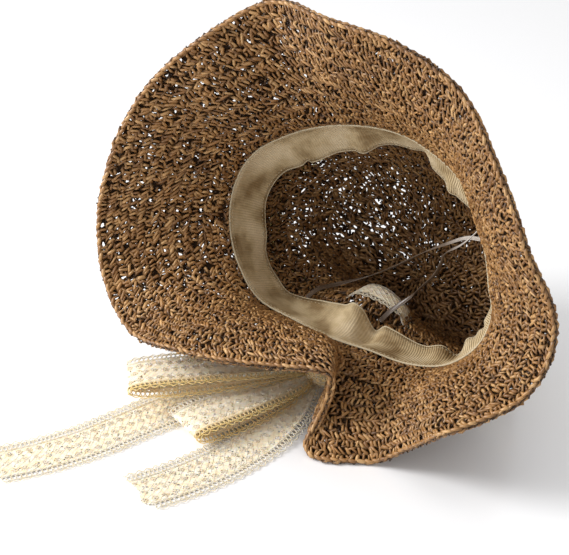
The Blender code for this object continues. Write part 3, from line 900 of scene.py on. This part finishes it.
def grosgrain_material():
    """Khaki band with fine cross ribs, clearer where it is stretched, and faded patches."""
    material, tree, shader, add = make_nodes("grosgrain")
    uv = add("ShaderNodeUVMap", uv_map="UVMap")
    wave = add("ShaderNodeTexWave", wave_type="BANDS", bands_direction="X")
    wave.inputs["Scale"].default_value = 2.0 * math.pi / 20.0 / 0.0019
    wave.inputs["Distortion"].default_value = 0.6
    tree.links.new(uv.outputs["UV"], wave.inputs["Vector"])
    coords = add("ShaderNodeTexCoord")
    cloud = add("ShaderNodeTexNoise")
    cloud.inputs["Scale"].default_value = 42.0
    cloud.inputs["Detail"].default_value = 3.0
    tree.links.new(coords.outputs["Object"], cloud.inputs["Vector"])
    ramp = colour_ramp(add, (
        (0.36, (0.29, 0.195, 0.092)), (0.50, (0.56, 0.435, 0.255)), (0.64, (0.72, 0.59, 0.390))))
    tree.links.new(cloud.outputs["Fac"], ramp.inputs["Fac"])
    place = add("ShaderNodeSeparateXYZ")
    tree.links.new(coords.outputs["Object"], place.inputs["Vector"])
    stretched = add("ShaderNodeMapRange", interpolation_type="SMOOTHSTEP")
    stretched.inputs["From Min"].default_value = 0.0
    stretched.inputs["From Max"].default_value = 0.06
    stretched.inputs["To Min"].default_value = 0.12
    stretched.inputs["To Max"].default_value = 1.0
    tree.links.new(place.outputs["X"], stretched.inputs["Value"])
    rib = colour_ramp(add, ((0.1, (0.42, 0.38, 0.32)), (0.6, (1.08, 1.08, 1.08))))
    tree.links.new(wave.outputs["Fac"], rib.inputs["Fac"])
    ribbed = add("ShaderNodeMix", data_type="RGBA", blend_type="MULTIPLY")
    tree.links.new(stretched.outputs["Result"], ribbed.inputs["Factor"])
    tree.links.new(ramp.outputs["Color"], ribbed.inputs["A"])
    tree.links.new(rib.outputs["Color"], ribbed.inputs["B"])
    weave = add("ShaderNodeTexNoise")
    weave.inputs["Scale"].default_value = 1500.0
    tree.links.new(coords.outputs["Object"], weave.inputs["Vector"])
    weave_ramp = colour_ramp(add, ((0.35, (0.88, 0.87, 0.85)), (0.65, (1.05, 1.05, 1.05))))
    tree.links.new(weave.outputs["Fac"], weave_ramp.inputs["Fac"])
    shade = add("ShaderNodeMix", data_type="RGBA", blend_type="MULTIPLY")
    shade.inputs["Factor"].default_value = 1.0
    tree.links.new(ribbed.outputs["Result"], shade.inputs["A"])
    tree.links.new(weave_ramp.outputs["Color"], shade.inputs["B"])
    tree.links.new(shade.outputs["Result"], shader.inputs["Base Color"])
    shader.inputs["Roughness"].default_value = 0.72
    shader.inputs["Specular IOR Level"].default_value = 0.25
    relief = add("ShaderNodeBump")
    relief.inputs["Strength"].default_value = 0.5
    relief.inputs["Distance"].default_value = 0.0003
    tree.links.new(wave.outputs["Fac"], relief.inputs["Height"])
    tree.links.new(relief.outputs["Normal"], shader.inputs["Normal"])
    return material


def make_sweatband(ribbons):
    """The khaki grosgrain band inside the opening, hemmed and stitched at both edges.

    The size ribbon is held at the band, and is too narrow to be declared by itself.
    ribbons is not used.
    """
    columns = 720
    angles = np.arange(columns) * 360.0 / columns
    ring = resting(creased_band_point(np.append(angles, 360.0), 0.0))
    way = np.concatenate(((0.0,), np.cumsum(np.linalg.norm(np.diff(ring, axis=0), axis=1))))
    shares = np.linspace(0.0, 1.0, 9)
    grid = np.array([resting(creased_band_point(angles, share)) for share in shares])
    item = sheet_object("sweatband_cloth", grid, 0.0009, True, (way, shares * BAND_WIDTH))
    dress(item, grosgrain_material(), "band_cloth", "sweatband")
    closed = np.append(angles, 360.0)
    hem = HEM / BAND_WIDTH
    hems = [band_rim(closed, 0.0, 0.0008), band_rim(closed, 1.0, 0.0007)]
    hems += [band_stitches(closed, hem), band_stitches(closed, 1.0 - hem)]
    thread = plain_material("band_thread", (0.55, 0.46, 0.31), 0.6, 900.0, 0.4)
    hem_item = mesh_object("sweatband_hems", *joined(hems))
    dress(hem_item, thread, "band_cloth", "sweatband")


def lace_side(angle):
    """1 where the lace band lies outside the crown, -1 where it lies inside."""
    start, end = LACE_INSIDE
    half = 0.5 * LACE_CROSSING
    inward = np.minimum(angle - start, end - angle)
    return -np.clip(inward / half, -1.0, 1.0)


def lace_band_point(angle, across, layer):
    """Lace band at angles, across from -1 to 1, layer a distance off its middle."""
    angle = np.asarray(angle, float)
    inside = 0.5 - 0.5 * lace_side(angle % 360.0)
    width = LACE_BAND_WIDTH * (1.0 - (1.0 - LACE_GATHERED) * inside)
    depth = LACE_BAND_DEPTH + LACE_DEEPER * inside + 0.5 * width * np.asarray(across)
    outward, along = opening_axes(angle, depth)
    wall = crown_point(angle, depth + 0.002) - crown_point(angle, depth - 0.002)
    normal = unit(np.cross(wall, along))
    normal = normal * np.sign((normal * outward).sum(axis=-1, keepdims=True))
    stand_off = 0.5 * STRAW + LACE_GAP + 0.5 * LACE_CLOTH
    lift = stand_off * lace_side(angle % 360.0) + layer
    return crown_point(angle, depth) + normal * lift[..., None]


# Lace across its width, in shares of the half width
NET_EDGE = 0.62            # the dense middle ends here
RAIL = 0.86                # the row of larger holes ends here
NET_PITCH = 0.0050
GROUND_CELL = 0.0012       # of the dense ground under the net
HOLE_PITCH = 0.0062
FLOWER_PITCH = 0.0068
THREAD = 0.00074


def net_lines(length, half_width):
    """The fine diamond net of the dense middle."""
    lines = []
    reach = 2.0 * NET_EDGE * half_width
    phases = max(4, round(2.0 * reach / NET_PITCH))
    places = np.arange(0.0, length, NET_PITCH * 0.5)
    for phase in range(phases):
        saw = (places / (2.0 * reach) + phase / phases) % 1.0
        across = NET_EDGE * (1.0 - 4.0 * np.abs(saw - 0.5))
        uneven = CHANCE.normal(size=(2, len(places)))
        lines.append(np.stack((places + uneven[0] * 0.0002, across + uneven[1] * 0.02), 1))
    return lines


def flower_lines(length, half_width):
    """Small rings in rows over the net, four to a flower."""
    lines = []
    turn = np.linspace(0.0, 2.0 * np.pi, 7)
    for row in (-0.42, 0.0, 0.42):
        shift = 0.5 * FLOWER_PITCH if row == 0.0 else 0.0
        for middle in np.arange(0.5 * FLOWER_PITCH + shift, length - 0.003, FLOWER_PITCH):
            for quarter in range(4):
                heading = quarter * 0.5 * np.pi + CHANCE.normal() * 0.2
                size = 0.0010 + 0.0002 * CHANCE.random()
                along = middle + 0.0013 * np.cos(heading) + size * np.cos(turn)
                across = row + (0.0013 * np.sin(heading) + size * np.sin(turn)) / half_width
                lines.append(np.stack((along, across), 1))
    return lines


def border_lines(length):
    """Both borders: a row of oval holes between rails, then a thin scalloped edge."""
    lines = []
    places = np.arange(0.0, length, HOLE_PITCH / 6.0)
    turn = places / HOLE_PITCH * 2.0 * np.pi
    middle, half = 0.5 * (NET_EDGE + RAIL), 0.5 * (RAIL - NET_EDGE)
    for side in (-1.0, 1.0):
        for phase in (0.0, np.pi):
            swing = np.sin(turn + phase)
            across = middle + half * np.sign(swing) * np.abs(swing) ** 0.6
            lines.append(np.stack((places, side * across), 1))
        scallop = RAIL + (1.0 - RAIL) * (0.68 - 0.32 * np.cos(turn + 0.4))
        lines.append(np.stack((places, side * scallop), 1))
        for rail in (NET_EDGE, NET_EDGE + 0.04, RAIL):
            lines.append(np.stack((places[::2], np.full(len(places[::2]), side * rail)), 1))
    return lines


def cut_depth(across):
    """How far the jagged cut end reaches back into the lace."""
    return 0.0065 * np.abs(np.sin(2.6 * across + 0.9)) * (0.6 - 0.4 * across)


def ragged(line, length):
    """The part of a thread that ends before the jagged cut."""
    over = np.flatnonzero(line[:, 0] > length - cut_depth(line[:, 1]))
    return line[:over[0]] if len(over) else line


def lace_fold(across, painted_gold):
    """1 where the folded lace gets painted warm gold light."""
    fold = np.zeros(across.shape)
    for line in painted_gold:
        fold = np.maximum(fold, bump(across - line, 0.55))
    return fold


def lace_ground(name, place, length, half_width, cut=False, painted_gold=()):
    """The dense woven ground of the middle, with small openings."""
    rows = round(length / GROUND_CELL)
    columns = round(2.0 * NET_EDGE * half_width / GROUND_CELL)
    along, across = np.meshgrid(
        np.linspace(0.0, length, rows + 1), np.linspace(-NET_EDGE, NET_EDGE, columns + 1),
        indexing="ij")
    uneven = CHANCE.normal(size=(2, rows + 1, columns + 1)) * 0.14 * GROUND_CELL
    along = np.clip(along + uneven[0], 0.0, length)
    across = across + uneven[1] / half_width
    points, normals = place(along.ravel(), across.ravel(), -0.00012)
    row = np.arange(rows)[:, None] * (columns + 1)
    this = np.arange(columns)[None, :]
    quads = np.stack((row + this, row + this + 1, row + columns + this + 2,
                      row + columns + this + 1), -1)
    keep = CHANCE.random((rows, columns)) > 0.05
    if cut:
        keep &= (along[1:, 1:] < length - cut_depth(across[1:, 1:]))
    # The second mark is the painted light level: low where folds get painted warm gold light.
    marks = np.stack((np.full(len(points), 0.5), 1.0 - lace_fold(across, painted_gold).ravel()), 1)
    return mesh_object(name, points, [quads[keep]], marks=marks)


def lace_object(name, place, length, half_width, cut=False, painted_gold=()):
    """A strip of lace; place(along, across, lift) gives points and their normals.

    The lines of painted gold across the width are where the folded lace gets painted warm light.
    """
    lines = [(line, 1.0, -1.0) for line in net_lines(length, half_width)]
    lines += [(line, 0.85, 0.6) for line in flower_lines(length, half_width)]
    lines += [(line, 1.15, 0.4) for line in border_lines(length)]
    parts = []
    for line, size, level in lines:
        line = ragged(line, length) if cut else line
        if len(line) < 3:
            continue
        points, normals = place(line[:, 0], line[:, 1], 0.00022 * level)
        wide = np.full((1, len(points)), 0.5 * THREAD * size)
        # Painted warm gold light where the lace is folded.
        shade = 1.0 - lace_fold(line[:, 1], painted_gold)
        parts.append(tubes(
            points[None], normals[None], wide, 0.8 * wide, 3, [CHANCE.random()], shade[None]))
    return mesh_object(name, *joined(parts))


def strip_place(path, widths, side=None, pleat=0.0, pleated=1.0):
    """Length of a strip along a path, and its place function for the lace.

    pleat is the height of its lengthwise pleats where it is gathered; they fade over
    the given share of its length.
    """
    shares = np.linspace(0.0, 1.0, 400)
    middle = smooth_path(path, shares)
    steps = np.linalg.norm(np.diff(middle, axis=0), axis=1)
    way = np.concatenate(((0.0,), np.cumsum(steps)))
    ahead = unit(np.gradient(middle, axis=0))
    if side is None:
        cross = unit(np.cross(ahead, np.array((0.0, 0.0, 1.0))))
    else:
        cross = np.broadcast_to(np.array(side), middle.shape)
    normal = unit(np.cross(cross, ahead))
    width = smooth_path([(value, 0.0, 0.0) for value in widths], shares)[:, 0]
    loop = side is not None

    def place(along, across, lift):
        def read(values):
            return np.stack([np.interp(along, way, values[:, i]) for i in range(3)], 1)
        half = 0.5 * np.interp(along, way, width)
        up = unit(read(normal))
        points = read(middle) + read(cross) * (half * across)[:, None]
        share = along / way[-1]
        fade = np.clip(1.0 - np.minimum(share, 1.0 - share if loop else 1.0) / pleated, 0, 1)
        wave = np.sin(across * 8.5 + share * 5.0) + 0.5 * np.sin(across * 15.0 - share * 9.0)
        points = points + up * (lift + pleat * wave * (0.25 + 0.75 * fade))[:, None]
        return on_floor(points, 0.0005), up

    return float(way[-1]), place


def knot_side(heading, height, half_deep=0.0006):
    """Direction of a heading, and the point just off the knot there at a height."""
    way = np.array((math.cos(math.radians(heading)), math.sin(math.radians(heading)), 0.0))
    level = max(0.0, abs(height - KNOT_CENTRE[2]) - half_deep) / KNOT_SIZE[2]
    girth = math.hypot(way[0] / KNOT_SIZE[0], way[1] / KNOT_SIZE[1])
    reach = math.sqrt(max(0.0, 1.0 - level ** 2)) / girth + GAP
    return way, np.array((KNOT_CENTRE[0], KNOT_CENTRE[1], height)) + way * reach


def loop_path(heading, length, tied, top, bottom):
    """Closed-end loop: out along the top, round the end and back underneath."""
    way, side = knot_side(heading, tied, 0.002)
    base = np.array((KNOT_CENTRE[0], KNOT_CENTRE[1], 0.0))
    start = float((side - base) @ way)
    rows = [
        (start, tied + 0.0013), (0.30 * length, tied + 0.7 * (top - tied)),
        (0.62 * length, top), (0.90 * length, top * 0.97),
        (length, 0.5 * (top + bottom)),
        (0.90 * length, bottom), (0.62 * length, bottom),
        (0.30 * length, tied + 0.7 * (bottom - tied)),
        (start, tied - 0.0013),
    ]
    return [base + way * out + np.array((0, 0, height)) for out, height in rows], way


def make_lace_strip(name, node, length, place, width, material,
                    cut=False, painted_gold=()):
    threads = lace_object(name, place, length, 0.5 * width, cut, painted_gold)
    ground = lace_ground(name + "_ground", place, length, 0.5 * width, cut, painted_gold)
    for item in (threads, ground):
        dress(item, material, "lace", node)


def make_bow(material):
    for name, heading, length, tied, top, bottom, width in LOOPS:
        path, way = loop_path(heading, length, tied, top, bottom)
        side = np.cross(way, np.array((0.0, 0.0, 1.0)))
        narrow = 0.35 * width
        widths = (narrow, 0.75 * width, width, width, width, width, width, 0.75 * width, narrow)
        strip, place = strip_place(path, widths, side, 0.0009, 0.5)
        # The loop's folded lower edge gets painted warm gold light.
        make_lace_strip(name + "_lace", name, strip, place, width, material,
                        painted_gold=(-0.90,))
    for name, heading, tied, rows in TAILS:
        path = (tuple(knot_side(heading, tied)[1]), *rows)
        spread = TAIL_SPREAD + (1.0,) * (len(path) - len(TAIL_SPREAD))
        widths = [TAIL_WIDTH * share for share in spread]
        strip, place = strip_place(path, widths, pleat=0.0007, pleated=0.4)
        make_lace_strip(name + "_lace", name, strip, place, TAIL_WIDTH, material,
                        cut=True)


def make_band_lace(material):
    """The lace round the crown and its two ends that lead to the bow."""
    angles = np.linspace(0.0, 360.0, 721)
    middle = resting(lace_band_point(angles, np.zeros(721), np.zeros(721)))
    way = np.concatenate(((0.0,), np.cumsum(np.linalg.norm(np.diff(middle, axis=0), axis=1))))

    def place(along, across, lift):
        angle = np.interp(along, way, angles)
        points = resting(lace_band_point(angle, across, np.full(len(angle), lift)))
        above = resting(lace_band_point(angle, across, np.full(len(angle), lift + 0.001)))
        return on_floor(points, 0.0004), unit(above - points)

    length = float(way[-1])
    make_lace_strip("lace_band_net", "lace_band", length, place, LACE_BAND_WIDTH, material)
    start = resting(lace_band_point(
        np.array([242.0]), np.array([0.0]), np.array([LACE_CLOTH + GAP + 0.0008])))[0]
    end = knot_side(110.0, KNOT_CENTRE[2] + 0.001)[1]
    bend = (start + end) * 0.5 - np.array((0.0, 0.0, 0.002))
    strip, place = strip_place((start, bend, end), (0.022, 0.018, 0.012))
    make_lace_strip("lace_band_ends_net", "lace_band_ends", strip, place, 0.022, material)


def satin_material():
    """Thin satin with painted shade dark brown low in the hollow and a pale painted highlight near
    the rim.
    """
    material, tree, shader, add = make_nodes("satin")
    coords = add("ShaderNodeTexCoord")
    place = add("ShaderNodeSeparateXYZ")
    tree.links.new(coords.outputs["Object"], place.inputs["Vector"])
    height = add("ShaderNodeMapRange", interpolation_type="SMOOTHSTEP")
    height.inputs["From Min"].default_value = 0.055
    height.inputs["From Max"].default_value = 0.125
    tree.links.new(place.outputs["Z"], height.inputs["Value"])
    # By height: painted shade low in the hollow, a painted highlight near the rim.
    ramp = colour_ramp(add, (
        (0.0, (0.105, 0.070, 0.046)), (0.7, (0.19, 0.145, 0.11)), (1.0, (0.66, 0.62, 0.58))))
    tree.links.new(height.outputs["Result"], ramp.inputs["Fac"])
    grain = add("ShaderNodeTexNoise")
    grain.inputs["Scale"].default_value = 700.0
    tree.links.new(coords.outputs["Object"], grain.inputs["Vector"])
    grain_ramp = colour_ramp(add, ((0.3, (0.78, 0.77, 0.76)), (0.7, (1.12, 1.12, 1.12))))
    tree.links.new(grain.outputs["Fac"], grain_ramp.inputs["Fac"])
    shade = add("ShaderNodeMix", data_type="RGBA", blend_type="MULTIPLY")
    shade.inputs["Factor"].default_value = 1.0
    tree.links.new(ramp.outputs["Color"], shade.inputs["A"])
    tree.links.new(grain_ramp.outputs["Color"], shade.inputs["B"])
    tree.links.new(shade.outputs["Result"], shader.inputs["Base Color"])
    shader.inputs["Roughness"].default_value = 0.36
    shader.inputs["Specular IOR Level"].default_value = 0.8
    relief = add("ShaderNodeBump")
    relief.inputs["Strength"].default_value = 0.3
    relief.inputs["Distance"].default_value = 0.0002
    tree.links.new(grain.outputs["Fac"], relief.inputs["Height"])
    tree.links.new(relief.outputs["Normal"], shader.inputs["Normal"])
    return material


def make_ribbons():
    """Both strands of the size ribbon."""
    material = satin_material()
    items = []
    sizes = np.array((HALF_LONG, HALF_SHORT, -CROWN_DEPTH))
    for name, path in RIBBON_STRANDS:
        shares = np.linspace(0.0, 1.0, 120)
        middle = smooth_path(resting(np.array(path) * sizes), shares)
        ahead = unit(np.gradient(middle, axis=0))
        level = unit(np.cross(ahead, np.array((0.0, 0.0, 1.0))))
        steep = np.cross(level, ahead)
        twist = np.radians(28.0 * np.sin(shares * 9.0))[:, None]
        cross = level * np.cos(twist) + steep * np.sin(twist)
        cupped = steep * np.cos(twist) - level * np.sin(twist)
        half = 0.5 * (RIBBON_WIDTH - 0.0010)
        grid = np.array([
            middle + half * across * cross + 0.0004 * across ** 2 * cupped
            for across in np.linspace(-1, 1, 7)
        ])
        item = sheet_object(name + "_satin", grid, 0.0004, False)
        items.append(dress(item, material, "satin", name))
    return items


def make_knot(material):
    """The tied knot: folds of lace with the net of its open border stretched over them."""
    columns, rows = 48, 24
    turn = np.arange(columns) / columns * 2 * np.pi
    rise = np.linspace(-0.5 * np.pi, 0.5 * np.pi, rows)
    grid = np.stack((
        np.cos(rise)[:, None] * np.cos(turn)[None],
        np.cos(rise)[:, None] * np.sin(turn)[None],
        np.broadcast_to(np.sin(rise)[:, None], (rows, columns)),
    ), -1)
    folds = 1.0 - 0.05 * (1 + np.sin(grid[..., 2] * 9.0 + grid[..., 0] * 3.0)) * 0.5
    points = KNOT_CENTRE + grid * KNOT_SIZE * folds[..., None]
    row = np.arange(rows - 1)[:, None] * columns
    this = np.arange(columns)[None, :]
    after = (this + 1) % columns
    quads = np.stack((row + this, row + after, row + columns + after, row + columns + this), -1)
    quads = quads.reshape(-1, 4)
    # Painted warm gold light in the knot's shade: the level 0.12 makes it mostly gold.
    marks = np.full((points.size // 3, 2), 0.12)
    parts = [(points.reshape(-1, 3), [quads], np.zeros((quads.size, 2)), marks)]
    girth = math.tau * float(KNOT_SIZE[:2].mean())
    places = np.linspace(0.0, 1.0, 120)
    for strand in range(16):
        for lean in (-1.0, 1.0):
            swing = 0.16 * np.sin(places * math.tau * 7.0) * lean
            heading = (strand / 16.0 + 0.3 * places * lean) * math.tau + swing
            height = (places - 0.5) * 0.92 * math.pi
            way = np.stack((
                np.cos(height) * np.cos(heading), np.cos(height) * np.sin(heading),
                np.sin(height)), 1)
            wide = np.full((1, len(places)), 0.014 * girth * 0.5)
            # Each strand of the knot gets part of the same painted gold light.
            shade = 0.35 + 0.5 * CHANCE.random()
            parts.append(tubes(
                (KNOT_CENTRE + way * KNOT_SIZE)[None], way[None], wide, 0.7 * wide, 3,
                [CHANCE.random()], np.full((1, len(places)), shade)))
    dress(mesh_object("bow_knot_lace", *joined(parts)), material, "lace", "bow_knot")


def make_camera():
    turn = math.radians(VIEW_TURN)
    rise = math.radians(VIEW_RISE)
    ahead = Vector((
        -math.sin(turn) * math.cos(rise), math.cos(turn) * math.cos(rise), -math.sin(rise)))
    data = bpy.data.cameras.new("camera")
    item = bpy.data.objects.new("camera", data)
    bpy.context.scene.collection.objects.link(item)
    item.location = VIEW_AIM - ahead * VIEW_AWAY
    item.rotation_euler = ahead.to_track_quat("-Z", "Y").to_euler()
    data.sensor_width = SENSOR
    data.lens = PIXELS_PER_METRE * VIEW_AWAY / PHOTO_WIDTH * SENSOR
    data.shift_x = (0.5 * PHOTO_WIDTH - AIM_PIXEL[0]) / PHOTO_WIDTH
    data.shift_y = (AIM_PIXEL[1] - 0.5 * PHOTO_HEIGHT) / PHOTO_WIDTH
    data.clip_start, data.clip_end = 0.05, 20.0
    bpy.context.scene.camera = item


def add_light(name, place, target, size, power, colour=(1.0, 1.0, 1.0)):
    data = bpy.data.lights.new(name, "AREA")
    data.size = size
    data.energy = power
    data.color = colour
    item = bpy.data.objects.new(name, data)
    bpy.context.scene.collection.objects.link(item)
    item.location = Vector(place)
    item.rotation_euler = (Vector(target) - Vector(place)).to_track_quat("-Z", "Y").to_euler()


def make_studio():
    """A pale glossy floor and soft light from above and the left."""
    bpy.ops.mesh.primitive_plane_add(size=8.0, location=(0.0, 0.0, -0.0002))
    floor = bpy.context.object
    floor.name = "floor"
    material, tree, shader, add = make_nodes("white_floor")
    shader.inputs["Base Color"].default_value = (0.95, 0.95, 0.96, 1.0)
    shader.inputs["Roughness"].default_value = 0.16
    floor.data.materials.append(material)
    world = bpy.data.worlds.new("studio")
    world.use_nodes = True
    world.node_tree.nodes["Background"].inputs["Color"].default_value = (1.0, 1.0, 1.0, 1.0)
    world.node_tree.nodes["Background"].inputs["Strength"].default_value = 0.66
    bpy.context.scene.world = world
    bpy.context.scene.view_settings.view_transform = "Standard"
    add_light("key", (-1.2, -0.6, 0.8), (0.0, 0.0, 0.08), 0.7, 26.0)
    add_light("front", (-0.2, -1.5, 0.3), (0.0, 0.0, 0.12), 0.8, 3.0)
    add_light("top", (0.0, 0.3, 1.6), (0.0, 0.0, 0.0), 1.2, 4.0)


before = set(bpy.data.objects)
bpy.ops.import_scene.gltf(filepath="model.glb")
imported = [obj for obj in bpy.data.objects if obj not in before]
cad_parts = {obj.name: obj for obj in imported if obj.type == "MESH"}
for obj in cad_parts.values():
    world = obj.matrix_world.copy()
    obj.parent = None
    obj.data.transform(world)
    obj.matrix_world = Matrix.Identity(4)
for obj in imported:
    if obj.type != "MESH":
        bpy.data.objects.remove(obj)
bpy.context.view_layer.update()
make_camera()
make_studio()
hat_wall = Wall()
make_straw(hat_wall)
make_sweatband(make_ribbons())
cream = lace_material()
make_band_lace(cream)
make_bow(cream)
make_knot(cream)
